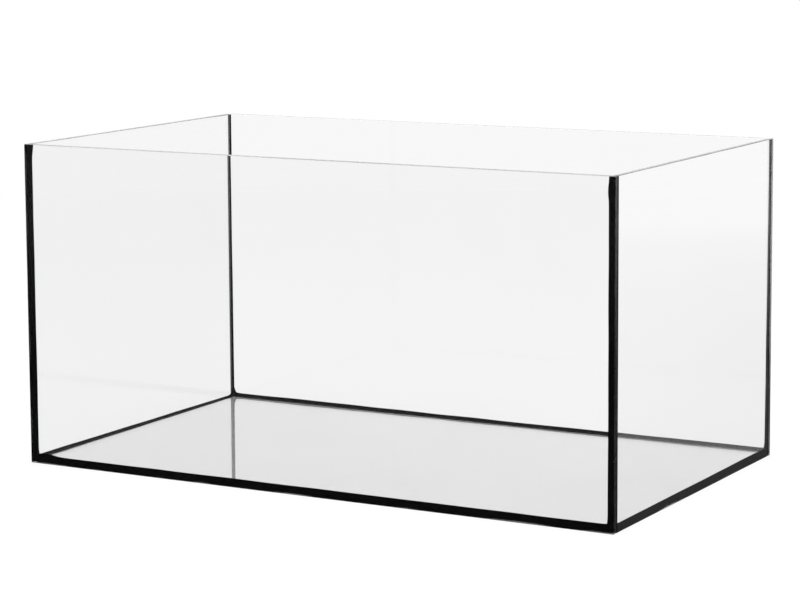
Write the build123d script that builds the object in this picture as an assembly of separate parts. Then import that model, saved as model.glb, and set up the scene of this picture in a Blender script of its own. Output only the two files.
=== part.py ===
from build123d import *
import os

# Frameless glass tank: five float glass panes glued with black silicone.
# The origin is the centre of the underside, +X along the width, +Y to the back, +Z up. Millimetres.

# Outside size of the tank
tank_width = 600.0
tank_depth = 350.0
tank_height = 300.0

# Float glass: gauge of the walls, gauge of the base and the ground arris on every edge
wall_glass = 5.0
base_glass = 5.0
arris = 0.5

# Structural silicone: gap between two panes, and how far the struck outer face is hollowed
bond_gap = 1.5
bond_hollow = 0.3

# Sealing beads in the inner corners: legs along the floor, legs up the corners, the height over
# which the floor's legs taper to the upright ones, and the thickness where a bead feathers out
floor_leg = 2.8
upright_leg = 1.8
corner_taper = 7.0
seal_feather = 0.2

# Inner faces of the walls, and the planes in which the glued edges of the inset panes lie
inner_x = tank_width / 2 - wall_glass
inner_y = tank_depth / 2 - wall_glass
edge_x = inner_x - bond_gap
edge_y = inner_y - bond_gap

# Directions away from the right wall, the front wall and the base
from_side = Vector(-1, 0, 0)
from_front = Vector(0, 1, 0)
from_base = Vector(0, 0, 1)

# The right front corner, at the underside and on top of the base
under_corner = Vector(inner_x, -inner_y, 0)
inner_corner = Vector(inner_x, -inner_y, base_glass)


def pane(low, high):
    """A glass pane between two opposite corners, with a ground arris on every edge."""
    size = Vector(*high) - Vector(*low)
    centre = (Vector(*high) + Vector(*low)) / 2
    blank = Pos(*centre) * Box(*size)
    return chamfer(blank.edges(), arris)


def other_side(solid):
    """The same piece on the left of the tank."""
    return mirror(solid, about=Plane.YZ)


def other_end(solid):
    """The same piece at the back of the tank."""
    return mirror(solid, about=Plane.XZ)


def far_corner(solid):
    """The same piece at the opposite corner, at the back left."""
    return Rot(0, 0, 180) * solid


def keep_beyond(solid, corner, along, across):
    """The share of a solid that is further from the corner along one wall than across it: a mitre."""
    return split(solid, bisect_by=Plane(origin=corner, z_dir=along - across), keep=Keep.TOP)


def bond_section(origin, inward, from_wall, edge_glass):
    """Section of structural silicone between a wall and the ground edge of a pane.

    It fills the gap, both arrises of that edge and the arris of the wall beside its outer face,
    which is struck hollow.
    """
    section_plane = Plane(origin=origin, x_dir=inward, z_dir=inward.cross(from_wall))
    lip = bond_gap + arris
    outline = Polyline(
        (0, lip),
        (arris, bond_gap),
        (edge_glass - arris, bond_gap),
        (edge_glass, lip),
        (edge_glass, 0),
        (arris, 0),
        (0, -arris),
    )
    struck_face = ThreePointArc((0, -arris), (bond_hollow, bond_gap / 2), (0, lip))
    return section_plane * make_face(outline + struck_face)


def seal_section(origin, first_leg, second_leg, leg):
    """Section of a sealing bead: two legs along the glass and a quarter round struck between them."""
    section_plane = Plane(origin=origin, x_dir=first_leg, z_dir=first_leg.cross(second_leg))
    legs = Polyline(
        (seal_feather, leg),
        (0, leg),
        (0, 0),
        (leg, 0),
        (leg, seal_feather),
    )
    cove = CenterArc((leg, leg), leg - seal_feather, 180, 90)
    return section_plane * make_face(legs + cove)


def corner_fill():
    """Silicone in the corner of three panes, struck with a ball that runs out into the three coves."""
    inward = from_side + from_front + from_base
    block = Pos(*(inner_corner + inward * (floor_leg / 2))) * Box(floor_leg, floor_leg, floor_leg)
    ball = Pos(*(inner_corner + inward * floor_leg)) * Sphere(floor_leg - seal_feather)
    return block - ball


def corner_share(along, first, second):
    """The part of the corner fill that belongs to the bead running one way out of the corner."""
    share = keep_beyond(corner_fill(), inner_corner, along, first)
    return keep_beyond(share, inner_corner, along, second)


def make_upright_bond():
    """Bond between the right pane's front edge and the front pane, trimmed level with the arrises."""
    foot = Vector(tank_width / 2, -inner_y, arris)
    section = bond_section(foot, from_side, from_front, wall_glass)
    return extrude(section, amount=tank_height - 2 * arris, dir=from_base)


def make_base_front_bond():
    """Bond between the base's front edge and the front pane, mitred at both ends."""
    section = bond_section(Vector(0, -inner_y, 0), from_base, from_front, base_glass)
    half = extrude(section, amount=inner_x + arris, dir=-from_side)
    half = keep_beyond(half, under_corner, from_side, from_front)
    return half + other_side(half)


def make_base_side_bond():
    """Bond between the base's right edge and the right pane, mitred at both ends."""
    section = bond_section(Vector(inner_x, 0, 0), from_base, from_side, base_glass)
    half = extrude(section, amount=inner_y + arris, dir=-from_front)
    half = keep_beyond(half, under_corner, from_front, from_side)
    return half + other_end(half)


def make_upright_seal():
    """Sealing bead up the right front corner, from its share of the floor corner to the rim's arris."""
    foot = inner_corner + from_base * floor_leg
    top_of_taper = foot + from_base * corner_taper
    wide_section = seal_section(foot, from_side, from_front, floor_leg)
    section = seal_section(top_of_taper, from_side, from_front, upright_leg)
    taper = loft([wide_section, section], ruled=True)
    run = extrude(section, amount=tank_height - arris - top_of_taper.Z, dir=from_base)
    return run + taper + corner_share(from_base, from_side, from_front)


def make_base_front_seal():
    """Sealing bead along the front of the floor, with its share of both corners."""
    section = seal_section(Vector(0, -inner_y, base_glass), from_base, from_front, floor_leg)
    half = extrude(section, amount=inner_x - floor_leg, dir=-from_side)
    half = half + corner_share(from_side, from_front, from_base)
    return half + other_side(half)


def make_base_side_seal():
    """Sealing bead along the right of the floor, with its share of both corners."""
    section = seal_section(Vector(inner_x, 0, base_glass), from_base, from_side, floor_leg)
    half = extrude(section, amount=inner_y - floor_leg, dir=-from_front)
    half = half + corner_share(from_front, from_side, from_base)
    return half + other_end(half)


# Panes
front_pane = pane((-tank_width / 2, -tank_depth / 2, 0), (tank_width / 2, -inner_y, tank_height))
right_pane = pane((inner_x, -edge_y, 0), (tank_width / 2, edge_y, tank_height))
base_pane = pane((-edge_x, -edge_y, 0), (edge_x, edge_y, base_glass))

# Silicone at the front and on the right, which the mirrored pieces repeat
upright_bond = make_upright_bond()
base_front_bond = make_base_front_bond()
base_side_bond = make_base_side_bond()
upright_seal = make_upright_seal()
base_front_seal = make_base_front_seal()
base_side_seal = make_base_side_seal()

nodes = {
    "base_pane": base_pane,
    "front_pane": front_pane,
    "back_pane": other_end(front_pane),
    "right_pane": right_pane,
    "left_pane": other_side(right_pane),
    "front_right_bond": upright_bond,
    "front_left_bond": other_side(upright_bond),
    "back_right_bond": other_end(upright_bond),
    "back_left_bond": far_corner(upright_bond),
    "base_front_bond": base_front_bond,
    "base_back_bond": other_end(base_front_bond),
    "base_right_bond": base_side_bond,
    "base_left_bond": other_side(base_side_bond),
    "front_right_seal": upright_seal,
    "front_left_seal": other_side(upright_seal),
    "back_right_seal": other_end(upright_seal),
    "back_left_seal": far_corner(upright_seal),
    "base_front_seal": base_front_seal,
    "base_back_seal": other_end(base_front_seal),
    "base_right_seal": base_side_seal,
    "base_left_seal": other_side(base_side_seal),
}

os.makedirs("parts", exist_ok=True)
for name, solid in nodes.items():
    export_step(solid, f"parts/{name}.step")
    print(f"{name}: {solid.volume:.1f} cubic mm")
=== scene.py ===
"""Glass aquarium: five panes of float glass glued edge to face with black silicone.

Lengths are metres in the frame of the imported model: the origin is the centre of the underside,
+X runs along the width, +Y to the back and +Z up.
"""

import logging
import math
from collections.abc import Iterable, Sequence
from dataclasses import dataclass, field
from enum import Enum, IntEnum

import bmesh
import bpy
from mathutils import Matrix, Vector, noise


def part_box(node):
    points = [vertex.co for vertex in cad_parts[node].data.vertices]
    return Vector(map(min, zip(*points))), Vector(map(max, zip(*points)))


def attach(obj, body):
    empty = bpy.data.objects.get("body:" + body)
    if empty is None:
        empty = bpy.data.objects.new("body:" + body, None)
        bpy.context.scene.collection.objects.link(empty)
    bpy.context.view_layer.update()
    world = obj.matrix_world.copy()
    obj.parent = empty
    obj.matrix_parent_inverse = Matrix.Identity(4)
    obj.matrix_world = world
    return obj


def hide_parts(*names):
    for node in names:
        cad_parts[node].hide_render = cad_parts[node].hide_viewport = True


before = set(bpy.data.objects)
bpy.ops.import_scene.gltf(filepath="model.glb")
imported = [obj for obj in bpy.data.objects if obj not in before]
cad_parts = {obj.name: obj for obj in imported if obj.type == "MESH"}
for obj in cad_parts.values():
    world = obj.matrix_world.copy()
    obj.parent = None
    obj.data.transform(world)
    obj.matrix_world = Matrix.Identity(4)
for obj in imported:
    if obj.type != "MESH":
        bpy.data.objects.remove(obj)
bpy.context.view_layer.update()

LOG = logging.getLogger("aquarium")
BODY = "root"

MM = 0.001

# Points of a mesh that lie closer than this become one
WELD = 0.001 * MM

# Edges that turn by more than this stay sharp, unless a piece has its own angle
CREASE = math.radians(32)

# Depth of the bonded faces of silicone under the skin of the glass, for optical contact
SUNK = 0.04 * MM

# Usual width of the ground arris on the edges of the glass
ARRIS = 0.5 * MM

# Index of refraction of soda-lime glass
GLASS_IOR = 1.52

# Stretch that takes smooth noise to about -1 to 1, and the steps between the rows that seams read
NOISE_STRETCH = 1.4
NOISE_STEPS = (7.31, 3.17)
NOISE_OFFSET = 0.5

# Steps between the nodes on a sheet, across and down, and after how many the rows start again
SHEET_STEP = (190, 120)
SHEET_ROWS = 3

UP = Vector((0.0, 0.0, 1.0)).freeze()

Pair = tuple[float, float]
Triple = tuple[float, float, float]
Section = list[Triple]
Colour = tuple[float, float, float, float]
Corner = bmesh.types.BMVert
Material = bpy.types.Material
Socket = bpy.types.NodeSocket


class Slot(Enum):
    """The material slots of the record."""

    FLOAT_GLASS = "float_glass"
    BLACK_SILICONE = "black_silicone"


class GlassFace(IntEnum):
    """Finishes on a pane, by material index."""

    POLISHED = 0
    GROUND = 1
    RIM = 2


class GlassState(Enum):
    """The polished faces of each pane, by its material's name: one glass, in copies with painted shade.
    """

    FRONT = "front_glass"
    RIGHT = "right_glass"
    BACK = "back_glass"
    LEFT = "left_glass"
    BASE = "base_glass"


class SiliconeFace(IntEnum):
    """Finishes on a piece of silicone, by material index."""

    STRUCK = 0
    BONDED = 1
    # A face on the glass with a painted grey sheen.
    PAINTED_SHEEN = 2


class Seam(Enum):
    """How one end of a run of silicone finishes."""

    MITRED = "mitred into the floor corner"
    CUT = "cut level with the arrises"


@dataclass(frozen=True)
class TankSizes:
    """Sizes that the seams share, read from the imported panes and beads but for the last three.

    Attributes:
        inner_x: Distance from the centre to the inner faces of the side walls.
        inner_y: Distance from the centre to the inner faces of the front and back walls.
        outer_x: Half the width of the tank.
        gap: Thickness of the silicone between two panes.
        base_top: Height of the base's upper face.
        rim: Height of the rim.
        floor_leg: Length of the legs of the beads where they meet in a floor corner.
        taper: Length over which a bead runs from that to its own legs.
        arris: Width of the ground arris on the edges of the glass.
        feather: Thickness at which a bead runs out on the glass.
    """

    inner_x: float
    inner_y: float
    outer_x: float
    gap: float
    base_top: float
    rim: float
    floor_leg: float
    taper: float = 3.0 * MM
    arris: float = ARRIS
    feather: float = 0.2 * MM

    @classmethod
    def from_frame(cls) -> "TankSizes":
        """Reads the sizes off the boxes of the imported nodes.

        Returns:
            The sizes of this tank.
        """
        right_low, right_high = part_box("right_pane")
        _, front_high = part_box("front_pane")
        _, base_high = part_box("base_pane")
        bead_low, bead_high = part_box("base_front_seal")
        return cls(
            inner_x=right_low[0],
            inner_y=-front_high[1],
            outer_x=right_high[0],
            gap=right_low[0] - base_high[0],
            base_top=base_high[2],
            rim=right_high[2],
            floor_leg=bead_high[2] - bead_low[2],
        )


def grey(value: float) -> Colour:
    """An opaque colour with no hue."""
    return (value, value, value, 1.0)


def dimmed(colour: Colour, share: float) -> Colour:
    """The same colour at a share of its strength."""
    red, green, blue, alpha = colour
    return (red * share, green * share, blue * share, alpha)


def wander(position: float, period: float, seed: float) -> float:
    """A smooth value between about -1 and 1 that drifts along a seam or an edge.

    Args:
        position: Distance along the seam.
        period: Distance over which the value changes.
        seed: Tells one seam's drift from another's.

    Returns:
        The value at that position.
    """
    row, layer = (seed * step for step in NOISE_STEPS)
    return NOISE_STRETCH * noise.noise(Vector((position / period, row, layer + NOISE_OFFSET)))


def seed_of(name: str, share: float) -> float:
    """A number that tells the drift of one piece from another's."""
    return sum(map(ord, name)) * share


def ease(value: float) -> float:
    """Eases 0 to 1 with a level start and end."""
    value = min(max(value, 0.0), 1.0)
    return value * value * (3.0 - 2.0 * value)


class MeshMaker:
    """Collects rings of points and the faces between them into one closed mesh."""

    def __init__(self, name: str) -> None:
        """Starts an empty mesh for the piece of that name."""
        self.name = name
        self.mesh = bmesh.new()

    def ring(self, points: Iterable[Vector]) -> list[Corner]:
        """Adds one vertex for each point and returns them in order."""
        return [self.mesh.verts.new(point) for point in points]

    def face(self, corners: Sequence[Corner], finish: int) -> None:
        """Adds one face with a finish."""
        self.mesh.faces.new(corners).material_index = int(finish)

    def band(
        self,
        first: Sequence[Corner],
        second: Sequence[Corner],
        finishes: Sequence[int],
    ) -> None:
        """Joins two closed rings of the same count.

        Args:
            first: Vertices of one ring.
            second: Vertices of the next ring.
            finishes: Finish of the face that starts at each vertex.
        """
        count = len(first)
        for i in range(count):
            j = (i + 1) % count
            self.face((first[i], first[j], second[j], second[i]), finishes[i])

    def finish(self, materials: Sequence[Material], crease: float = CREASE) -> bpy.types.Object:
        """Welds the mesh, turns its faces outward and makes the object.

        Args:
            materials: Materials in the order of their index.
            crease: Edges that turn by more than this stay sharp.

        Returns:
            The new object, in the scene's collection.
        """
        bmesh.ops.remove_doubles(self.mesh, verts=self.mesh.verts, dist=WELD)
        bmesh.ops.recalc_face_normals(self.mesh, faces=self.mesh.faces)
        data = bpy.data.meshes.new(self.name)
        self.mesh.to_mesh(data)
        self.mesh.free()
        for material in materials:
            data.materials.append(material)
        data.polygons.foreach_set("use_smooth", [True] * len(data.polygons))
        data.set_sharp_from_angle(angle=crease)
        piece = bpy.data.objects.new(self.name, data)
        bpy.context.scene.collection.objects.link(piece)
        return piece


def settle(piece: bpy.types.Object, node: str) -> bpy.types.Object:
    """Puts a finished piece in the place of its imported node.

    Args:
        piece: The dressed piece.
        node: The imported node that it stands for.

    Returns:
        The same piece.
    """
    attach(piece, BODY)
    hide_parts(node)
    LOG.info("%s: %d faces", piece.name, len(piece.data.polygons))
    return piece


@dataclass
class NodeSheet:
    """A node tree that is being filled from left to right.

    Attributes:
        tree: The tree that receives the nodes.
        column: Where the next node stands on the sheet.
    """

    tree: bpy.types.NodeTree
    column: int = 0

    def feed(self, socket: Socket, value: object) -> None:
        """Links an input to the socket that feeds it, or sets it to a plain value.

        Args:
            socket: The input.
            value: A socket to link or a value to set.
        """
        if isinstance(value, Socket):
            self.tree.links.new(value, socket)
        else:
            socket.default_value = value

    def add(self, kind: str, **inputs: object) -> bpy.types.Node:
        """Adds a node and sets or links its inputs.

        Args:
            kind: Blender's name of the node type.
            **inputs: Input names, with underscores for spaces, and their values or sockets.

        Returns:
            The new node.
        """
        node = self.tree.nodes.new(kind)
        across, down = SHEET_STEP
        node.location = (self.column * across, -(self.column % SHEET_ROWS) * down)
        self.column += 1
        for name, value in inputs.items():
            self.feed(node.inputs[name.replace("_", " ")], value)
        return node

    def calculate(self, operation: str, *values: object, clamp: bool = False) -> Socket:
        """Adds a Math node.

        Args:
            operation: Name of the operation.
            *values: Numbers or sockets, in order.
            clamp: Whether the result is kept between 0 and 1.

        Returns:
            The socket with the result.
        """
        node = self.add("ShaderNodeMath")
        node.operation = operation
        node.use_clamp = clamp
        for socket, value in zip(node.inputs, values):
            self.feed(socket, value)
        return node.outputs[0]

    def blend_colours(self, amount: Socket, low: Colour, high: Colour) -> Socket:
        """Adds a Mix node between two fixed colours.

        Args:
            amount: Socket that goes from 0 for the first colour to 1 for the second.
            low: The first colour.
            high: The second colour.

        Returns:
            The socket with the mixed colour.
        """
        node = self.add("ShaderNodeMix")
        node.data_type = "RGBA"
        # The sockets for colours stand after those for numbers and vectors
        for index, value in ((0, amount), (6, low), (7, high)):
            self.feed(node.inputs[index], value)
        return node.outputs[2]

    def remap(self, value: Socket, source: Pair, target: Pair) -> Socket:
        """Adds a Map Range node from one span of values to another.

        Args:
            value: Socket to remap.
            source: Lowest and highest value that comes in.
            target: The values that these become.

        Returns:
            The socket with the result.
        """
        node = self.add(
            "ShaderNodeMapRange",
            Value=value,
            From_Min=source[0],
            From_Max=source[1],
            To_Min=target[0],
            To_Max=target[1],
        )
        return node.outputs[0]

    def place(self) -> Socket:
        """Adds a Texture Coordinate node and returns its place on the object."""
        return self.add("ShaderNodeTexCoord").outputs["Object"]


class SharedEffects:
    """Shader node groups that several finishes use, each built once.

    Attributes:
        wide_grain: Scale of the wide part of the grain, as a share of the fine part's.
        bare_level: Level of the noise above which a patch is wiped at no coverage.
        patch_slope: How steeply a wiped patch sets in.
        streaks: Scale of the streaks in a patch, as a multiple of the patch's.
        drifts: Scale of the drifts that dust lies in, per metre.
        drift_level: Level of the noise above which dust lies.
        grain: The group for the tooth of a ground edge or of silicone.
        marks: The group for wiped patches.
        dust: The group for specks of dust.
    """

    wide_grain = 0.13
    bare_level = 0.85
    patch_slope = 3.0
    streaks = 14.0
    drifts = 22.0
    drift_level = 0.5

    def __init__(self) -> None:
        """Builds the groups."""
        self.grain = self._grain()
        self.marks = self._marks()
        self.dust = self._dust()

    @staticmethod
    def _open(name: str, inputs: dict[str, float], output: str) -> tuple[NodeSheet, bpy.types.Node]:
        """Starts a group with a place, numbers for its inputs and one output.

        Args:
            name: Name of the group.
            inputs: Names of its numbers and their usual values.
            output: Name of its output.

        Returns:
            The sheet to fill, and the node that the inputs come out of.
        """
        tree = bpy.data.node_groups.new(name, "ShaderNodeTree")
        tree.interface.new_socket("Place", in_out="INPUT", socket_type="NodeSocketVector")
        for label, usual in inputs.items():
            socket = tree.interface.new_socket(label, in_out="INPUT", socket_type="NodeSocketFloat")
            socket.default_value = usual
        tree.interface.new_socket(output, in_out="OUTPUT", socket_type="NodeSocketFloat")
        sheet = NodeSheet(tree)
        return sheet, sheet.add("NodeGroupInput")

    @staticmethod
    def _close(sheet: NodeSheet, result: Socket) -> bpy.types.NodeTree:
        """Links the result to the group's output and returns the group."""
        sheet.tree.links.new(result, sheet.add("NodeGroupOutput").inputs[0])
        return sheet.tree

    def _grain(self) -> bpy.types.NodeTree:
        """Fine tooth of a ground edge or of cured silicone.

        Returns:
            The group, which puts out a height of 0 or more.
        """
        sheet, given = self._open("fine grain", {"Per Metre": 2500.0, "Coarse Share": 0.35}, "Height")
        fine = sheet.add(
            "ShaderNodeTexNoise",
            Vector=given.outputs["Place"],
            Scale=given.outputs["Per Metre"],
            Detail=2.0,
            Roughness=0.6,
        )
        wide_scale = sheet.calculate("MULTIPLY", given.outputs["Per Metre"], self.wide_grain)
        wide = sheet.add(
            "ShaderNodeTexNoise", Vector=given.outputs["Place"], Scale=wide_scale, Detail=1.0
        )
        coarse = sheet.calculate("MULTIPLY", wide.outputs[0], given.outputs["Coarse Share"])
        return self._close(sheet, sheet.calculate("ADD", fine.outputs[0], coarse))

    def _marks(self) -> bpy.types.NodeTree:
        """Wiped patches left by cleaning and handling.

        Returns:
            The group, which puts out a mask from 0 to 1.
        """
        sheet, given = self._open("wipe marks", {"Per Metre": 9.0, "Coverage": 0.4}, "Mask")
        patches = sheet.add(
            "ShaderNodeTexNoise",
            Vector=given.outputs["Place"],
            Scale=given.outputs["Per Metre"],
            Detail=3.0,
            Roughness=0.55,
            Distortion=0.8,
        )
        threshold = sheet.calculate("SUBTRACT", self.bare_level, given.outputs["Coverage"])
        excess = sheet.calculate("SUBTRACT", patches.outputs[0], threshold)
        body = sheet.calculate("MULTIPLY", excess, self.patch_slope, clamp=True)
        streak_scale = sheet.calculate("MULTIPLY", given.outputs["Per Metre"], self.streaks)
        streaks = sheet.add(
            "ShaderNodeTexNoise", Vector=given.outputs["Place"], Scale=streak_scale, Detail=2.0
        )
        return self._close(sheet, sheet.calculate("MULTIPLY", body, streaks.outputs[0]))

    def _dust(self) -> bpy.types.NodeTree:
        """Scattered specks of dust and lint.

        Returns:
            The group, which puts out a mask from 0 to 1.
        """
        sheet, given = self._open("dust specks", {"Per Metre": 260.0, "Speck": 0.1}, "Mask")
        cells = sheet.add(
            "ShaderNodeTexVoronoi", Vector=given.outputs["Place"], Scale=given.outputs["Per Metre"]
        )
        inside = sheet.calculate("SUBTRACT", given.outputs["Speck"], cells.outputs["Distance"])
        ratio = sheet.calculate("DIVIDE", inside, given.outputs["Speck"], clamp=True)
        drift = sheet.add(
            "ShaderNodeTexNoise", Vector=given.outputs["Place"], Scale=self.drifts, Detail=2.0
        )
        present = sheet.calculate("GREATER_THAN", drift.outputs[0], self.drift_level)
        return self._close(sheet, sheet.calculate("MULTIPLY", ratio, present))


def use_effect(
    sheet: NodeSheet, group: bpy.types.NodeTree, place: Socket, **values: float
) -> Socket:
    """Places a shared effect in a material.

    Args:
        sheet: The material's node sheet.
        group: The shared node group.
        place: Where on the object the effect is read.
        **values: The group's numbers, with underscores for spaces.

    Returns:
        The socket with the effect's output.
    """
    node = sheet.add("ShaderNodeGroup")
    node.node_tree = group
    for name, value in {"Place": place, **values}.items():
        sheet.feed(node.inputs[name.replace("_", " ")], value)
    return node.outputs[0]


def new_material(name: str) -> tuple[Material, NodeSheet]:
    """Starts a material with an empty node tree.

    Args:
        name: Name of the material.

    Returns:
        The material and the sheet for its nodes.
    """
    material = bpy.data.materials.new(name)
    material.use_nodes = True
    material.node_tree.nodes.clear()
    return material, NodeSheet(material.node_tree)


def show_surface(sheet: NodeSheet, shader: bpy.types.Node) -> None:
    """Links a shader to the material's output."""
    output = sheet.add("ShaderNodeOutputMaterial")
    sheet.tree.links.new(shader.outputs[0], output.inputs["Surface"])


@dataclass(frozen=True)
class PolishedGlass:
    """The fire-polished faces of clear float glass.

    Attributes:
        state: The pane that it is on.
        clear: Share of light through a clean part of both faces; its differences between panes are
            painted shade.
        film_and_shade: Share that the thickest film takes away, and the full painted shade where a
            direction is given.
        painted_shade_axis: Direction in which a painted shade lifts, by the share per metre, if it has
            one.
        painted_shade_span: Distances along that direction, in shares, between which the painted shade
            lifts.
        ior: Index of refraction of soda-lime glass.
        reflection: Strength of the reflection seen square on, as a share of a bare pane's.
        shine: Weight of a clear coat, which strengthens the mirror image in a face.
        rough: Roughness of the faces.
        wave: Height of the slow draw waves of the float line.
        wave_scale: Scale of those waves, per metre.
    """

    state: GlassState
    clear: float
    film_and_shade: float = 0.01
    painted_shade_axis: Triple | None = None
    painted_shade_span: Pair = (-0.5, 0.5)
    ior: float = GLASS_IOR
    reflection: float = 0.2
    shine: float = 0.0
    rough: float = 0.0
    wave: float = 0.004 * MM
    wave_scale: float = 11.0

    def build(self, effects: SharedEffects) -> Material:
        """Makes the material.

        Args:
            effects: The shared node groups.

        Returns:
            The material.
        """
        material, sheet = new_material(self.state.value)
        place = sheet.place()
        film_and_shade = use_effect(sheet, effects.marks, place, Per_Metre=7.0, Coverage=0.42)
        # Painted shade: along a given direction the pane goes from fully darkened to its plain film of
        # marks, so it is darker at the low end.
        if self.painted_shade_axis:
            reach = sheet.add("ShaderNodeVectorMath", Vector=place)
            reach.operation = "DOT_PRODUCT"
            reach.inputs[1].default_value = self.painted_shade_axis
            shade_lift = sheet.remap(reach.outputs["Value"], self.painted_shade_span, (0.0, 1.0))
            film_and_shade = sheet.calculate("SUBTRACT", film_and_shade, shade_lift)
            film_and_shade = sheet.calculate("ADD", film_and_shade, 1.0, clamp=True)
        wave = sheet.add("ShaderNodeTexNoise", Vector=place, Scale=self.wave_scale, Detail=0.0)
        bump = sheet.add("ShaderNodeBump", Height=wave.outputs[0], Strength=1.0, Distance=self.wave)
        # The tone under the thickest film, which is also the tone of the full painted shade.
        wiped = self.clear - self.film_and_shade
        shader = sheet.add(
            "ShaderNodeBsdfPrincipled",
            Base_Color=sheet.blend_colours(film_and_shade, grey(self.clear), grey(wiped)),
            Roughness=self.rough,
            IOR=self.ior,
            Transmission_Weight=1.0,
            Specular_Tint=grey(self.reflection),
            Coat_Weight=self.shine,
            Coat_Roughness=0.0,
            Normal=bump.outputs[0],
        )
        show_surface(sheet, shader)
        return material


@dataclass(frozen=True)
class GroundGlass:
    """The edges and arrises of a pane, ground with a fine belt.

    Attributes:
        name: Name of the material.
        painted_rim_shade: Share of the light that painted shade takes away, over two ground faces.
        clean: Colour of the light that has crossed two ground faces.
        dusty: Colour where glass dust sits in the tooth.
        ior: Index of refraction of soda-lime glass.
        reflection: Strength of the reflection seen square on, as a share of a bare edge's.
        clear: Share of the light that crosses, where the rest is scattered back.
        levels: Heights of the grain in its finest and in its coarsest patches.
        smooth: Roughness of the finest patches.
        rough: Roughness of the coarsest patches.
        tooth: Height of the grinding marks.
    """

    name: str = "ground_glass"
    painted_rim_shade: float = 0.0
    clean: Colour = (0.93, 0.935, 0.935, 1.0)
    dusty: Colour = (0.84, 0.85, 0.85, 1.0)
    ior: float = GLASS_IOR
    reflection: float = 1.0
    clear: float = 1.0
    levels: Pair = (0.35, 1.0)
    smooth: float = 0.16
    rough: float = 0.3
    tooth: float = 0.01 * MM

    def build(self, effects: SharedEffects) -> Material:
        """Makes the material.

        Args:
            effects: The shared node groups.

        Returns:
            The material.
        """
        material, sheet = new_material(self.name)
        place = sheet.place()
        grain = use_effect(sheet, effects.grain, place, Per_Metre=5200.0, Coarse_Share=0.4)
        dust = use_effect(sheet, effects.dust, place, Per_Metre=900.0, Speck=0.3)
        bump = sheet.add("ShaderNodeBump", Height=grain, Strength=0.6, Distance=self.tooth)
        # Painted shade darkens both colours by its share.
        clean, dusty = (dimmed(colour, 1.0 - self.painted_rim_shade) for colour in (self.clean, self.dusty))
        shader = sheet.add(
            "ShaderNodeBsdfPrincipled",
            Base_Color=sheet.blend_colours(dust, clean, dusty),
            Roughness=sheet.remap(grain, self.levels, (self.smooth, self.rough)),
            IOR=self.ior,
            Transmission_Weight=self.clear,
            Specular_Tint=grey(self.reflection),
            Normal=bump.outputs[0],
        )
        show_surface(sheet, shader)
        return material


@dataclass(frozen=True)
class BlackSilicone:
    """Cured black silicone, struck smooth in the open and wetted out where it meets the glass.

    Attributes:
        black: Colour of clean silicone.
        wetted: Colour of clean silicone behind glass.
        painted_sheen: Colour of the painted grey sheen at the rim in a corner, where the bond shows
            grey.
        bloom: Colour where dust and wiping have dulled it.
        sheen_heights: Heights between which it turns from the wetted colour to the painted sheen,
            lighter up.
        ior: Index of refraction of silicone rubber.
        gloss: Strength of the reflections of its struck face, where a plain surface has 0.5.
        dulling: Strengths of marks and dust over which it goes from smooth to dull.
        sheen: Roughness of the smoothest patches.
        dull: Roughness of the dullest patches.
        skin: Height of the fine skin of the struck face.
    """

    black: Colour = (0.0034, 0.0034, 0.0036, 1.0)
    wetted: Colour = (0.006, 0.006, 0.0062, 1.0)
    painted_sheen: Colour = (0.26, 0.26, 0.265, 1.0)
    bloom: Colour = (0.009, 0.009, 0.0094, 1.0)
    sheen_heights: Pair = (-60 * MM, 300 * MM)
    ior: float = 1.41
    gloss: float = 0.08
    dulling: Pair = (0.0, 0.7)
    sheen: float = 0.3
    dull: float = 0.48
    skin: float = 0.02 * MM

    def build(self, effects: SharedEffects, face: SiliconeFace) -> Material:
        """Makes the material of one kind of face.

        Args:
            effects: The shared node groups.
            face: The struck face in the open, a face on the glass or one with a painted grey sheen
                there.

        Returns:
            The material.
        """
        material, sheet = new_material(f"{face.name.lower()}_silicone")
        place = sheet.place()
        grain = use_effect(sheet, effects.grain, place, Per_Metre=1900.0, Coarse_Share=0.8)
        marks = use_effect(sheet, effects.marks, place, Per_Metre=38.0, Coverage=0.5)
        dust = use_effect(sheet, effects.dust, place, Per_Metre=420.0, Speck=0.16)
        dulled = sheet.calculate("MAXIMUM", marks, dust)
        bump = sheet.add("ShaderNodeBump", Height=grain, Strength=0.5, Distance=self.skin)
        if face is SiliconeFace.PAINTED_SHEEN:
            # Painted grey sheen, lighter towards the top.
            height = sheet.add("ShaderNodeSeparateXYZ", Vector=place).outputs["Z"]
            share = sheet.remap(height, self.sheen_heights, (0.0, 1.0))
            colour = sheet.blend_colours(share, self.wetted, self.painted_sheen)
        else:
            clean = self.black if face is SiliconeFace.STRUCK else self.wetted
            colour = sheet.blend_colours(dulled, clean, self.bloom)
        shader = sheet.add(
            "ShaderNodeBsdfPrincipled",
            Base_Color=colour,
            Roughness=sheet.remap(dulled, self.dulling, (self.sheen, self.dull)),
            IOR=self.ior,
            Normal=bump.outputs[0],
        )
        gloss = self.gloss if face is SiliconeFace.STRUCK else 0.0
        shader.inputs["Specular IOR Level"].default_value = gloss
        show_surface(sheet, shader)
        return material


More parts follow.
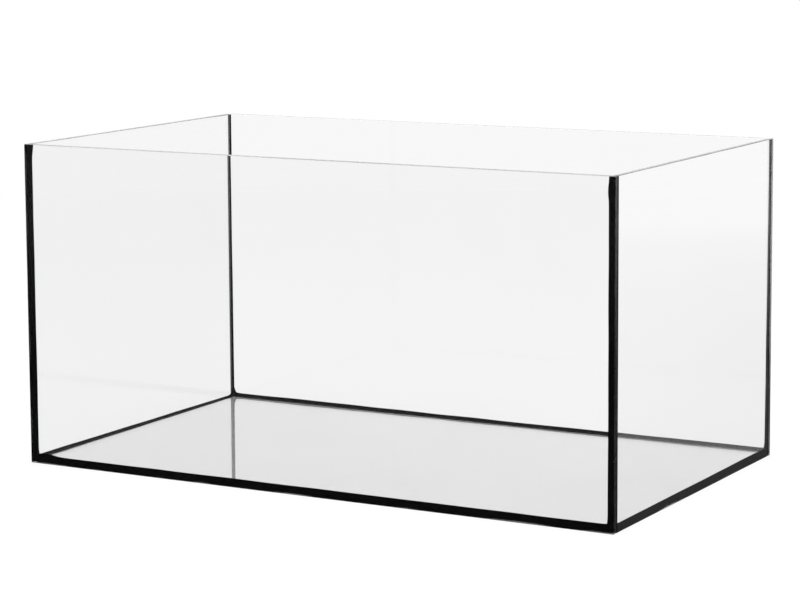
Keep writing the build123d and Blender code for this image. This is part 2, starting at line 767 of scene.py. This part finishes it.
@dataclass(frozen=True)
class Finishes:
    """The materials of the tank, in the order of their index on a piece.

    The shares of light and reflection are fitted by number to the tones of the photograph.
    They are no data on real glass.

    Attributes:
        glass: Materials of the faces, the ground edges and, on a wall, the rim of each pane.
        silicone: Materials of a piece of silicone.
    """

    glass: dict[GlassState, list[Material]]
    silicone: list[Material]

    @classmethod
    def build(cls) -> "Finishes":
        """Makes every material of the tank from the shared effects.

        Returns:
            The finishes.
        """
        effects = SharedEffects()
        # The panes are one glass; how their shares of light differ is painted shade, the base darkest
        # for the shade under it.
        polished = (
            PolishedGlass(GlassState.FRONT, clear=0.957, reflection=0.12),
            PolishedGlass(GlassState.RIGHT, clear=0.998, reflection=0.0),
            PolishedGlass(GlassState.BACK, clear=0.938),
            PolishedGlass(GlassState.LEFT, clear=0.926, reflection=0.0, rough=0.06),
            PolishedGlass(
                GlassState.BASE,
                clear=0.887,
                film_and_shade=0.08,
                # Painted shade on the base, lighter towards the back and the right.
                painted_shade_axis=(0.75, 1.57, 0.0),
                reflection=1.0,
                shine=0.8,
            ),
        )
        # Painted shade on each wall's top edge, darkest at the front.
        painted_rim_shade = {
            GlassState.FRONT: 0.45,
            GlassState.RIGHT: 0.15,
            GlassState.BACK: 0.0,
            GlassState.LEFT: 0.4,
        }
        ground = GroundGlass().build(effects)
        glass = {finish.state: [finish.build(effects), ground] for finish in polished}
        edge = GroundGlass("front_glass_edge", reflection=0.1)
        glass[GlassState.FRONT][GlassFace.GROUND] = edge.build(effects)
        for state, share in painted_rim_shade.items():
            rim = GroundGlass(f"{state.value}_rim", share, clear=0.75, smooth=0.1, rough=0.2)
            glass[state].append(rim.build(effects))
        silicone = BlackSilicone()
        return cls(glass, [silicone.build(effects, face) for face in SiliconeFace])


@dataclass
class GlassPane:
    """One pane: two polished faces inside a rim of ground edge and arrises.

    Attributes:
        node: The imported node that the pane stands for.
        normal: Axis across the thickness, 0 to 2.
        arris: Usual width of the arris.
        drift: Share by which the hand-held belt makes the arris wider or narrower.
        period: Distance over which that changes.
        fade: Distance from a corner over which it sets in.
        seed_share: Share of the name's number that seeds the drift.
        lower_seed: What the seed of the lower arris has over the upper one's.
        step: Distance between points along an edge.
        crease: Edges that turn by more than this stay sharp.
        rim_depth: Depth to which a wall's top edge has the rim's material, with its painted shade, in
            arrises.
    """

    node: str
    normal: int
    arris: float = ARRIS
    drift: float = 0.22
    period: float = 34 * MM
    fade: float = 12 * MM
    seed_share: float = 0.1
    lower_seed: float = 31.7
    step: float = 7.0 * MM
    crease: float = math.radians(12)
    rim_depth: float = 1.2

    def _side(self, start: Vector, end: Vector, seed: float) -> list[tuple[Vector, float]]:
        """Points along one side of the outline, with the arris at each.

        Args:
            start: First corner of the side.
            end: Last corner of the side.
            seed: Tells this side's drift from another's.

        Returns:
            Points on the outline and the arris width there.
        """
        along = end - start
        length = along.length
        steps = max(2, round(length / self.step))
        points = []
        for i in range(steps + 1):
            distance = self.arris + (length - 2 * self.arris) * i / steps
            fade = ease(min(distance, length - distance) / self.fade)
            width = self.arris * (1 + self.drift * fade * wander(distance, self.period, seed))
            points.append((start + along * (distance / length), width))
        return points

    def _rings(self, low: Vector, high: Vector) -> list[list[Vector]]:
        """The outlines of the pane, from its upper face over both arrises to its lower face.

        Args:
            low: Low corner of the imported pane.
            high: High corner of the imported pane.

        Returns:
            Four rings of as many points.
        """
        p, q = (axis for axis in range(3) if axis != self.normal)
        corners = [
            Vector((low[p], low[q])),
            Vector((high[p], low[q])),
            Vector((high[p], high[q])),
            Vector((low[p], high[q])),
        ]
        rings: list[list[Vector]] = [[], [], [], []]
        for i, start in enumerate(corners):
            end = corners[(i + 1) % len(corners)]
            along = (end - start).normalized()
            inward = Vector((-along.y, along.x))
            seed = seed_of(self.node, self.seed_share) + i
            upper = self._side(start, end, seed)
            lower = self._side(start, end, seed + self.lower_seed)
            for (point, top_arris), (_, bottom_arris) in zip(upper, lower):
                heights = (
                    (top_arris, high[self.normal]),
                    (0.0, high[self.normal] - top_arris),
                    (0.0, low[self.normal] + bottom_arris),
                    (bottom_arris, low[self.normal]),
                )
                for ring, (inset, height) in zip(rings, heights):
                    flat = point + inward * inset
                    place = Vector((0.0, 0.0, 0.0))
                    place[p], place[q], place[self.normal] = flat.x, flat.y, height
                    ring.append(place)
        return rings

    def build(self, materials: Sequence[Material]) -> bpy.types.Object:
        """Makes the pane in its packed place.

        Args:
            materials: Materials of the polished faces, the ground edges and, on a wall, the rim.

        Returns:
            The dressed pane.
        """
        low, high = (Vector(corner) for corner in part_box(self.node))
        maker = MeshMaker(self.node + "_glass")
        loops = [maker.ring(ring) for ring in self._rings(low, high)]
        for first, second in zip(loops, loops[1:]):
            maker.band(first, second, [GlassFace.GROUND] * len(first))
        maker.face(loops[0], GlassFace.POLISHED)
        maker.face(loops[-1], GlassFace.POLISHED)
        pane = maker.finish(materials, self.crease)
        is_wall = self.normal != 2
        if is_wall:
            for face in pane.data.polygons:
                if face.center.z > high.z - self.rim_depth * self.arris:
                    face.material_index = GlassFace.RIM
            pane.visible_shadow = False
        return settle(pane, self.node)


@dataclass
class GlassPanes:
    """The five panes of the tank.

    Attributes:
        panes: Each pane's node, the axis across its thickness and the state of its faces.
    """

    panes: dict[str, tuple[int, GlassState]] = field(
        default_factory=lambda: {
            "base_pane": (2, GlassState.BASE),
            "front_pane": (1, GlassState.FRONT),
            "back_pane": (1, GlassState.BACK),
            "right_pane": (0, GlassState.RIGHT),
            "left_pane": (0, GlassState.LEFT),
        }
    )

    def build(self, finishes: Finishes) -> list[bpy.types.Object]:
        """Makes the five panes.

        Args:
            finishes: The materials of the tank.

        Returns:
            The dressed panes.
        """
        return [
            GlassPane(node, axis).build(finishes.glass[state])
            for node, (axis, state) in self.panes.items()
        ]


@dataclass(frozen=True)
class SeamLine:
    """Where a run of silicone lies.

    Attributes:
        origin: The end from which distances along the seam count.
        along: Direction of the seam.
        first: Direction of the section's first leg.
        second: Direction of the section's second leg.
        length: Length from end to end.
        start: How the run finishes at the origin.
        end: How the run finishes at the far end.
    """

    origin: Vector
    along: Vector
    first: Vector
    second: Vector
    length: float
    start: Seam = Seam.MITRED
    end: Seam = Seam.MITRED

    def place(self, a: float, b: float, s: float) -> Vector:
        """The point that lies a and b along the legs and s along the seam."""
        return self.origin + self.first * a + self.second * b + self.along * s


@dataclass(frozen=True)
class Swell:
    """A place where the tool left more silicone than elsewhere.

    Attributes:
        at: Distance along the seam.
        reach: Distance over which it fades.
        extra: How much longer the legs are at its middle.
    """

    at: float
    reach: float
    extra: float

    def rise(self, s: float) -> float:
        """How much longer it makes the legs at a distance along the seam."""
        return self.extra * math.exp(-(((s - self.at) / self.reach) ** 2))


@dataclass
class SealingBead:
    """A bead in an inner corner, struck to a cove, with ball-struck mitres at the floor corners.

    Attributes:
        node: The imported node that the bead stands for.
        line: Where the bead lies.
        legs: Usual length of its legs along the glass, at its start and at its end.
        corner_legs: Length of the legs in the floor corners at its start and at its end.
        taper: Length over which the legs run from the corner's to the bead's own.
        feather: Thickness at which it runs out.
        swells: Places with more silicone.
        drift: Share by which the tool makes the legs longer or shorter.
        period: Distance over which that changes.
        seed_share: Share of the name's number that seeds the drift.
        leg_seeds: What each leg adds to that seed.
        sunk: Depth of the bonded faces under the skin of the glass, for optical contact.
        segments: Straight pieces in the cove, an even number.
        mitre_steps: Sections between a mitre and the run of the bead.
        step: Distance between sections along the seam.
    """

    node: str
    line: SeamLine
    legs: Pair
    corner_legs: Pair
    taper: float
    feather: float
    swells: Sequence[Swell] = ()
    drift: float = 0.09
    period: float = 46 * MM
    seed_share: float = 0.37
    leg_seeds: Pair = (0.0, 11.0)
    sunk: float = SUNK
    segments: int = 10
    mitre_steps: int = 4
    step: float = 5.0 * MM

    def _finishes(self) -> list[int]:
        """Finish of each side of the section, where both feathers are struck with the cove."""
        struck = [SiliconeFace.STRUCK] * (self.segments + 2)
        return [SiliconeFace.BONDED, *struck, SiliconeFace.BONDED]

    def _section(self, s: float) -> Section:
        """The section at a distance along the seam.

        Args:
            s: Distance from the start of the bead.

        Returns:
            Its points, each as distances along the two legs and along the seam.
        """
        from_end = self.line.end is Seam.MITRED and s > self.line.length / 2
        corner_leg = self.corner_legs[1] if from_end else self.corner_legs[0]
        reach = self.line.length - s if from_end else s
        own = ease((reach - corner_leg) / self.taper)
        seed = seed_of(self.node, self.seed_share)
        extra = sum(swell.rise(s) for swell in self.swells)
        usual = self.legs[0] + (self.legs[1] - self.legs[0]) * s / self.line.length
        legs = []
        for leg_seed in self.leg_seeds:
            tooled = usual * (1 + self.drift * wander(s, self.period, seed + leg_seed)) + extra
            legs.append(corner_leg + (tooled - corner_leg) * own)
        points = [(-self.sunk, -self.sunk), (legs[0], -self.sunk)]
        for i in range(self.segments + 1):
            angle = math.pi / 2 * i / self.segments
            a = legs[0] - (legs[0] - self.feather) * math.sin(angle)
            b = legs[1] - (legs[1] - self.feather) * math.cos(angle)
            points.append((a, b))
        points.append((-self.sunk, legs[1]))
        return [(a, b, s) for a, b in points]

    def _mitre(self, leg: float, share: float) -> Section:
        """A section of the part that is struck with a ball and mitred in a floor corner.

        Args:
            leg: Length of the legs in that corner.
            share: 1 on the mitre planes, and less towards the run of the bead.

        Returns:
            Its points, each as distances along the two legs and along the seam.
        """
        radius = leg - self.feather
        points = [(-self.sunk, -self.sunk, leg - (leg + self.sunk) * share), (leg, -self.sunk, leg)]
        for i in range(self.segments + 1):
            turn = math.pi / 2 * i / self.segments
            lean = math.atan(min(math.sin(turn), math.cos(turn))) * share
            a = leg - radius * math.cos(lean) * math.sin(turn)
            b = leg - radius * math.cos(lean) * math.cos(turn)
            points.append((a, b, leg - radius * math.sin(lean)))
        points.append((-self.sunk, leg, leg))
        return points

    def _stations(self) -> list[Section]:
        """Every section of the bead.

        Returns:
            The sections, from its start to its end.
        """
        shares = [1 - i / self.mitre_steps for i in range(self.mitre_steps)]
        mitres = [[self._mitre(leg, share) for share in shares] for leg in self.corner_legs]
        start, last = self.corner_legs
        end = self.line.length - (last if self.line.end is Seam.MITRED else 0.0)
        steps = round((end - start) / self.step)
        run = [self._section(start + (end - start) * i / steps) for i in range(steps + 1)]
        stations = mitres[0] + run
        if self.line.end is Seam.MITRED:
            flip = self.line.length
            stations += [[(a, b, flip - s) for a, b, s in ring] for ring in reversed(mitres[1])]
        return stations

    def _close(self, maker: MeshMaker, ring: list[Corner], seam: Seam) -> None:
        """Closes one end of the bead, on its two mitre planes or with one cut face.

        Args:
            maker: The mesh of the bead.
            ring: Vertices of the section at that end.
            seam: How the bead finishes there.
        """
        if seam is Seam.CUT:
            maker.face(ring, SiliconeFace.STRUCK)
            return
        # The heel and the end of the first leg come before the points of the cove
        middle = 2 + self.segments // 2
        maker.face(ring[: middle + 1], SiliconeFace.BONDED)
        maker.face([ring[0], *ring[middle:]], SiliconeFace.BONDED)

    def build(self, materials: Sequence[Material]) -> bpy.types.Object:
        """Makes the bead in its packed place.

        Args:
            materials: Materials of the struck and the bonded faces.

        Returns:
            The dressed bead.
        """
        maker = MeshMaker(self.node + "_bead")
        rings = [
            maker.ring(self.line.place(a, b, s) for a, b, s in ring) for ring in self._stations()
        ]
        finishes = self._finishes()
        for first, second in zip(rings, rings[1:]):
            maker.band(first, second, finishes)
        self._close(maker, rings[0], self.line.start)
        self._close(maker, rings[-1], self.line.end)
        return settle(maker.finish(materials), self.node)


@dataclass
class StructuralBond:
    """Silicone between a wall and the ground edge of a pane, struck hollow on its outer face.

    Attributes:
        node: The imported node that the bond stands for.
        line: Where the bond lies, its first leg along the wall and its second away from it.
        gap: Thickness between wall and pane.
        edge: Thickness of the pane whose edge is glued.
        arris: Width of the arrises that it fills.
        skin: Finish of the three faces on the ground edge.
        hollow: Usual depth of the struck face.
        drift: Share by which the tool makes it deeper or shallower.
        period: Distance over which that changes.
        seed_share: Share of the name's number that seeds the drift.
        sunk: Depth of the bonded faces under the skin of the glass, for optical contact.
        arcs: Straight pieces in the struck face.
        step: Distance between sections along the seam.
    """

    node: str
    line: SeamLine
    gap: float
    edge: float
    arris: float
    skin: SiliconeFace = SiliconeFace.BONDED
    hollow: float = 0.28 * MM
    drift: float = 0.45
    period: float = 38 * MM
    seed_share: float = 0.53
    sunk: float = SUNK
    arcs: int = 6
    step: float = 6.0 * MM

    def _section(self, s: float) -> Section:
        """The section at a distance along the seam.

        Args:
            s: Distance from the start of the bond.

        Returns:
            Its points, each as distances along the two legs and along the seam.
        """
        seed = seed_of(self.node, self.seed_share)
        depth = self.hollow * (1 + self.drift * wander(s, self.period, seed))
        lip = self.gap + self.arris
        points = []
        for i in range(self.arcs + 1):
            share = i / self.arcs
            points.append((depth * math.sin(math.pi * share), -self.arris + (lip + self.arris) * share))
        points += [
            (self.arris - self.sunk, self.gap + self.sunk),
            (self.edge - self.arris + self.sunk, self.gap + self.sunk),
            (self.edge, lip),
            (self.edge, -self.sunk),
            (self.arris + self.sunk, -self.sunk),
        ]
        return [(a, b, s) for a, b in points]

    def _mitre(self, ring: Section, flip: bool) -> Section:
        """Slides each point of an end section onto the mitre plane, at the far end if flipped."""
        ends = [(a, b, max(b, -self.sunk)) for a, b, _ in ring]
        return [(a, b, self.line.length - s) for a, b, s in ends] if flip else ends

    def build(self, materials: Sequence[Material]) -> bpy.types.Object:
        """Makes the bond in its packed place.

        Args:
            materials: Materials of the struck and the bonded faces.

        Returns:
            The dressed bond.
        """
        length = self.line.length
        steps = round(length / self.step)
        rings = [self._section(length * i / steps) for i in range(steps + 1)]
        if self.line.start is Seam.MITRED:
            rings[0] = self._mitre(rings[0], flip=False)
        if self.line.end is Seam.MITRED:
            rings[-1] = self._mitre(rings[-1], flip=True)
        maker = MeshMaker(self.node + "_run")
        loops = [maker.ring(self.line.place(a, b, s) for a, b, s in ring) for ring in rings]
        struck = [SiliconeFace.STRUCK] * self.arcs
        # The ground edge and its two arrises, and then the bead, the wall and the wall's arris
        on_edge = [self.skin] * 3
        others = [SiliconeFace.BONDED] * 3
        for first, second in zip(loops, loops[1:]):
            maker.band(first, second, struck + on_edge + others)
        maker.face(loops[0], SiliconeFace.STRUCK)
        maker.face(loops[-1], SiliconeFace.STRUCK)
        return settle(maker.finish(materials), self.node)


@dataclass
class SiliconeWork:
    """All sixteen runs of silicone: the bonds between panes and the beads in the corners.

    Attributes:
        sizes: Sizes shared with the glass.
        legs: How long the hand-held tool left the legs of each bead, at its start and its end.
        swells: Places with more silicone, by node.
        fill: Extra length of the legs in a floor corner, by side (-1 left) and end (1 back).
        painted_sheen: Upright corners, by side and end, whose bond shows a painted grey sheen through
            the side wall.
    """

    sizes: TankSizes
    legs: dict[str, Pair] = field(
        default_factory=lambda: {
            "front_left_seal": (2.0 * MM, 2.0 * MM),
            "front_right_seal": (2.1 * MM, 2.1 * MM),
            "back_left_seal": (1.3 * MM, 0.45 * MM),
            "back_right_seal": (2.1 * MM, 0.45 * MM),
            "base_front_seal": (2.3 * MM, 2.5 * MM),
            "base_back_seal": (2.5 * MM, 3.2 * MM),
            "base_left_seal": (1.7 * MM, 2.4 * MM),
            "base_right_seal": (2.4 * MM, 3.4 * MM),
        }
    )
    swells: dict[str, Sequence[Swell]] = field(
        default_factory=lambda: {
            "front_left_seal": (Swell(at=294 * MM, reach=7 * MM, extra=1.6 * MM),),
            "front_right_seal": (Swell(at=282 * MM, reach=6 * MM, extra=0.9 * MM),),
            "base_front_seal": (Swell(at=9 * MM, reach=12 * MM, extra=2.2 * MM),),
        }
    )
    fill: dict[tuple[int, int], float] = field(default_factory=lambda: {(-1, 1): 0.8 * MM})
    painted_sheen: frozenset[tuple[int, int]] = frozenset({(-1, 1)})

    def _corner_leg(self, corner: Vector) -> float:
        """Length of the legs of all three beads in the floor corner that a point is in."""
        key = (1 if corner.x > 0 else -1, 1 if corner.y > 0 else -1)
        return self.sizes.floor_leg + self.fill.get(key, 0.0)

    def _upright_line(
        self, side: int, end: int, reach: float, foot: float, length: float, start: Seam
    ) -> SeamLine:
        """The line up one corner of the tank, which ends in a cut.

        Args:
            side: -1 on the left, 1 on the right.
            end: -1 at the front, 1 at the back.
            reach: Distance of the line from the middle of the width.
            foot: Height at which it starts.
            length: Length of the line.
            start: How the run finishes at its foot.

        Returns:
            The line, with its first leg along the width and its second along the depth.
        """
        origin = Vector((side * reach, end * self.sizes.inner_y, foot))
        first = Vector((-side, 0, 0))
        second = Vector((0, -end, 0))
        return SeamLine(origin, UP, first, second, length, start, Seam.CUT)

    def _floor_line(
        self, outward: Vector, height: float, first: Vector, second: Vector
    ) -> SeamLine:
        """The line along the foot of one wall, from mitre to mitre.

        Args:
            outward: Axis that points to the wall.
            height: Height of the line.
            first: Direction of the section's first leg.
            second: Direction of the section's second leg.

        Returns:
            The line.
        """
        along = UP.cross(outward)
        half, reach = self.sizes.inner_x, self.sizes.inner_y
        if outward.x:
            half, reach = reach, half
        origin = outward * reach - along * half + UP * height
        return SeamLine(origin, along, first, second, 2 * half)

    def _bead(self, node: str, line: SeamLine) -> SealingBead:
        """The bead of one corner.

        Args:
            node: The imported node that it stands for.
            line: Where it lies.

        Returns:
            The bead, with the legs and the fuller places of that node.
        """
        sizes = self.sizes
        ends = (line.origin, line.origin + line.along * line.length)
        corner_legs = (self._corner_leg(ends[0]), self._corner_leg(ends[1]))
        swells = self.swells.get(node, ())
        return SealingBead(
            node, line, self.legs[node], corner_legs, sizes.taper, sizes.feather, swells
        )

    def _upright_bead(self, node: str, side: int, end: int) -> SealingBead:
        """The bead up one corner.

        Args:
            node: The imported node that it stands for.
            side: -1 on the left, 1 on the right.
            end: -1 at the front, 1 at the back.

        Returns:
            The bead.
        """
        sizes = self.sizes
        length = sizes.rim - sizes.arris - sizes.base_top
        line = self._upright_line(
            side, end, sizes.inner_x, sizes.base_top, length, Seam.MITRED
        )
        return self._bead(node, line)

    def _floor_bead(self, node: str, outward: Vector) -> SealingBead:
        """The bead along one side of the floor, on the wall that an axis points to."""
        return self._bead(node, self._floor_line(outward, self.sizes.base_top, -outward, UP))

    def _upright_bond(self, node: str, side: int, end: int) -> StructuralBond:
        """The bond up one corner, between the end wall and the side wall's edge.

        Args:
            node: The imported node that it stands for.
            side: -1 on the left, 1 on the right.
            end: -1 at the front, 1 at the back.

        Returns:
            The bond.
        """
        sizes = self.sizes
        length = sizes.rim - 2 * sizes.arris
        line = self._upright_line(side, end, sizes.outer_x, sizes.arris, length, Seam.CUT)
        wall = sizes.outer_x - sizes.inner_x
        # Those corners get the painted grey sheen on the bond's faces on the ground edge.
        skin = SiliconeFace.PAINTED_SHEEN if (side, end) in self.painted_sheen else SiliconeFace.BONDED
        return StructuralBond(node, line, sizes.gap, wall, sizes.arris, skin=skin)

    def _floor_bond(self, node: str, outward: Vector) -> StructuralBond:
        """The bond along one side of the base, on the wall that an axis points to."""
        line = self._floor_line(outward, 0.0, UP, -outward)
        return StructuralBond(node, line, self.sizes.gap, self.sizes.base_top, self.sizes.arris)

    def build(self, finishes: Finishes) -> list[bpy.types.Object]:
        """Makes every run of silicone.

        Args:
            finishes: The materials of the tank.

        Returns:
            The dressed bonds and beads.
        """
        runs: list[SealingBead | StructuralBond] = []
        for side_name, side in (("left", -1), ("right", 1)):
            for end_name, end in (("front", -1), ("back", 1)):
                corner = f"{end_name}_{side_name}"
                runs.append(self._upright_bond(corner + "_bond", side, end))
                runs.append(self._upright_bead(corner + "_seal", side, end))
        walls = {
            "front": Vector((0, -1, 0)),
            "back": Vector((0, 1, 0)),
            "left": Vector((-1, 0, 0)),
            "right": Vector((1, 0, 0)),
        }
        for name, outward in walls.items():
            runs.append(self._floor_bond(f"base_{name}_bond", outward))
            runs.append(self._floor_bead(f"base_{name}_seal", outward))
        return [run.build(finishes.silicone) for run in runs]


@dataclass
class Studio:
    """A plain pale floor, an even white surround and one broad lamp overhead.

    How white the floor looks, by distance and by the kind of ray, was set by trial against the
    photograph. It isn't how a real floor behaves.

    Attributes:
        half: Half the length of the floor's sides.
        drop: How far the floor lies under the glass, so that the two don't touch.
        pale: Share of the light that the floor throws back beside the tank.
        near: Distance from the middle of the tank up to which it throws back that share.
        far: Distance from the middle of the tank at which it is an even white.
        own: How much of that share its own white leaves to the lamp.
        dim_near: Distance, from there too, up to which its own white doesn't show in a reflection, as
            painted shade.
        bright_far: Distance from which it shows in full.
        turned: Strength at which it shows when the glass has turned the light inside a pane.
        bounces: How often light may turn inside a pane, which carries it from edge to edge.
        ambient: Strength of the surround as it lights the tank.
        lamp_side: Length of the lamp's sides.
        lamp_place: Where the middle of the lamp is.
        lamp_power: Power of the lamp, in watts.
    """

    half: float = 6.0
    drop: float = 0.2 * MM
    pale: float = 0.25
    near: float = 0.7
    far: float = 2.2
    own: float = 0.9
    dim_near: float = 0.8
    bright_far: float = 2.0
    turned: float = 0.8
    bounces: int = 96
    ambient: float = 0.5
    lamp_side: float = 5.0
    lamp_place: Triple = (0.2, -0.3, 3.2)
    lamp_power: float = 97.0

    @staticmethod
    def _whiteness(sheet: NodeSheet, mirrored: float | Socket, turned: float) -> Socket:
        """How strongly a ray that no matt surface has scattered sees the even white.

        Args:
            sheet: Node sheet of the floor or the surround.
            mirrored: The strength for rays that come by a reflection.
            turned: The strength for rays that a reflection turned before they left the glass.

        Returns:
            1 for rays straight from the camera or through glass, and 0 for light on the tank.
        """
        # Depths are whole numbers, so a half parts none from one or more
        one_or_more = 0.5
        light = sheet.add("ShaderNodeLightPath")
        glossy = sheet.calculate("MULTIPLY", light.outputs["Is Glossy Ray"], mirrored)
        reflected = sheet.calculate("GREATER_THAN", light.outputs["Glossy Depth"], one_or_more)
        strength = sheet.remap(reflected, (0.0, 1.0), (1.0, turned))
        through = sheet.calculate("MULTIPLY", light.outputs["Is Transmission Ray"], strength)
        straight = sheet.calculate("MAXIMUM", light.outputs["Is Camera Ray"], through)
        seen = sheet.calculate("MAXIMUM", straight, glossy)
        unscattered = sheet.calculate("LESS_THAN", light.outputs["Diffuse Depth"], one_or_more)
        return sheet.calculate("MULTIPLY", seen, unscattered)

    def build_world(self) -> None:
        """Makes the white surround."""
        world = bpy.data.worlds.new("white_surround")
        world.use_nodes = True
        world.node_tree.nodes.clear()
        sheet = NodeSheet(world.node_tree)
        seen = self._whiteness(sheet, mirrored=1.0, turned=1.0)
        strength = sheet.remap(seen, (0.0, 1.0), (self.ambient, 1.0))
        shade = sheet.add("ShaderNodeBackground", Color=grey(1.0), Strength=strength)
        output = sheet.add("ShaderNodeOutputWorld")
        sheet.tree.links.new(shade.outputs[0], output.inputs["Surface"])
        bpy.context.scene.world = world

    def build_floor(self) -> None:
        """Makes the floor, which shows the tank's shadow near it."""
        material, sheet = new_material("pale_floor")
        distance = sheet.add("ShaderNodeVectorMath", Vector=sheet.place())
        distance.operation = "LENGTH"
        share = sheet.remap(distance.outputs["Value"], (self.near, self.far), (self.pale, 0.0))
        # Painted shade: the floor's own white leaves reflections near the tank and comes back further
        # out.
        bright = (self.dim_near, self.bright_far)
        mirrored = sheet.remap(distance.outputs["Value"], bright, (0.0, 1.0))
        white = self._whiteness(sheet, mirrored, self.turned)
        rest = sheet.calculate("SUBTRACT", 1.0, sheet.calculate("MULTIPLY", share, self.own))
        glow = sheet.calculate("MULTIPLY", white, rest)
        emission = sheet.add("ShaderNodeEmission", Color=grey(1.0), Strength=glow)
        paint = sheet.add("ShaderNodeCombineColor", Red=share, Green=share, Blue=share)
        matt = sheet.add("ShaderNodeBsdfDiffuse", Color=paint.outputs[0], Roughness=0.0)
        both = sheet.add("ShaderNodeAddShader")
        sheet.tree.links.new(emission.outputs[0], both.inputs[0])
        sheet.tree.links.new(matt.outputs[0], both.inputs[1])
        show_surface(sheet, both)
        maker = MeshMaker("studio_floor")
        corners = [(-1, -1), (1, -1), (1, 1), (-1, 1)]
        ring = maker.ring(Vector((x * self.half, y * self.half, -self.drop)) for x, y in corners)
        maker.face(ring, 0)
        floor = maker.finish([material])

    def build_lamp(self) -> None:
        """Makes the broad lamp overhead."""
        data = bpy.data.lights.new("overhead_lamp", "AREA")
        data.shape = "SQUARE"
        data.size = self.lamp_side
        data.energy = self.lamp_power
        lamp = bpy.data.objects.new("overhead_lamp", data)
        lamp.location = self.lamp_place
        lamp.visible_camera = False
        lamp.visible_transmission = False
        bpy.context.scene.collection.objects.link(lamp)

    def build(self) -> None:
        """Makes the surround, the floor and the lamp."""
        paths = bpy.context.scene.cycles
        paths.max_bounces = paths.glossy_bounces = paths.transmission_bounces = self.bounces
        self.build_world()
        self.build_floor()
        self.build_lamp()
        LOG.info("studio: floor, white surround and one lamp")


@dataclass
class PhotoCamera:
    """A camera at the photograph's viewing angle.

    Attributes:
        place: Where the camera stands.
        yaw: Turn to the left from straight back, in degrees.
        pitch: Tilt down, in degrees.
        roll: Turn about the line of sight, in degrees.
        focal_pixels: Focal length in pixels of the image.
        image_width: Width of the image, in pixels.
        sensor: Width of the camera's sensor, in millimetres.
        shift_y: Vertical shift as a share of the width.
        sight: Distance up to which the camera sees.
    """

    place: Triple = (1.2276, -2.1912, 0.5508)
    yaw: float = 29.26
    pitch: float = 7.36
    roll: float = -0.34
    focal_pixels: float = 2724.0
    image_width: int = 800
    sensor: float = 36.0
    shift_y: float = -0.1
    sight: float = 100.0

    def build(self) -> None:
        """Makes the camera and gives it to the scene."""
        data = bpy.data.cameras.new("photo_camera")
        data.sensor_width = self.sensor
        data.lens = self.focal_pixels / self.image_width * self.sensor
        data.shift_y = self.shift_y
        data.clip_end = self.sight
        camera = bpy.data.objects.new("photo_camera", data)
        yaw, pitch, roll = (math.radians(turn) for turn in (self.yaw, self.pitch, self.roll))
        ahead = Vector(
            (-math.sin(yaw) * math.cos(pitch), math.cos(yaw) * math.cos(pitch), -math.sin(pitch))
        )
        right = Vector((math.cos(yaw), math.sin(yaw), 0.0))
        down = ahead.cross(right)
        rolled_right = right * math.cos(roll) - down * math.sin(roll)
        rolled_down = right * math.sin(roll) + down * math.cos(roll)
        axes = Matrix((rolled_right, -rolled_down, -ahead)).transposed()
        camera.matrix_world = Matrix.Translation(self.place) @ axes.to_4x4()
        bpy.context.scene.collection.objects.link(camera)
        bpy.context.scene.camera = camera


def main() -> None:
    """Builds the tank, the studio and the camera in order."""
    logging.basicConfig(level=logging.INFO, format="%(message)s")
    bpy.context.scene.view_settings.view_transform = "Standard"
    sizes = TankSizes.from_frame()
    finishes = Finishes.build()
    panes = GlassPanes().build(finishes)
    silicone = SiliconeWork(sizes).build(finishes)
    LOG.info("tank: %d panes, %d runs of silicone", len(panes), len(silicone))
    Studio().build()
    PhotoCamera().build()


if __name__ == "__main__":
    main()
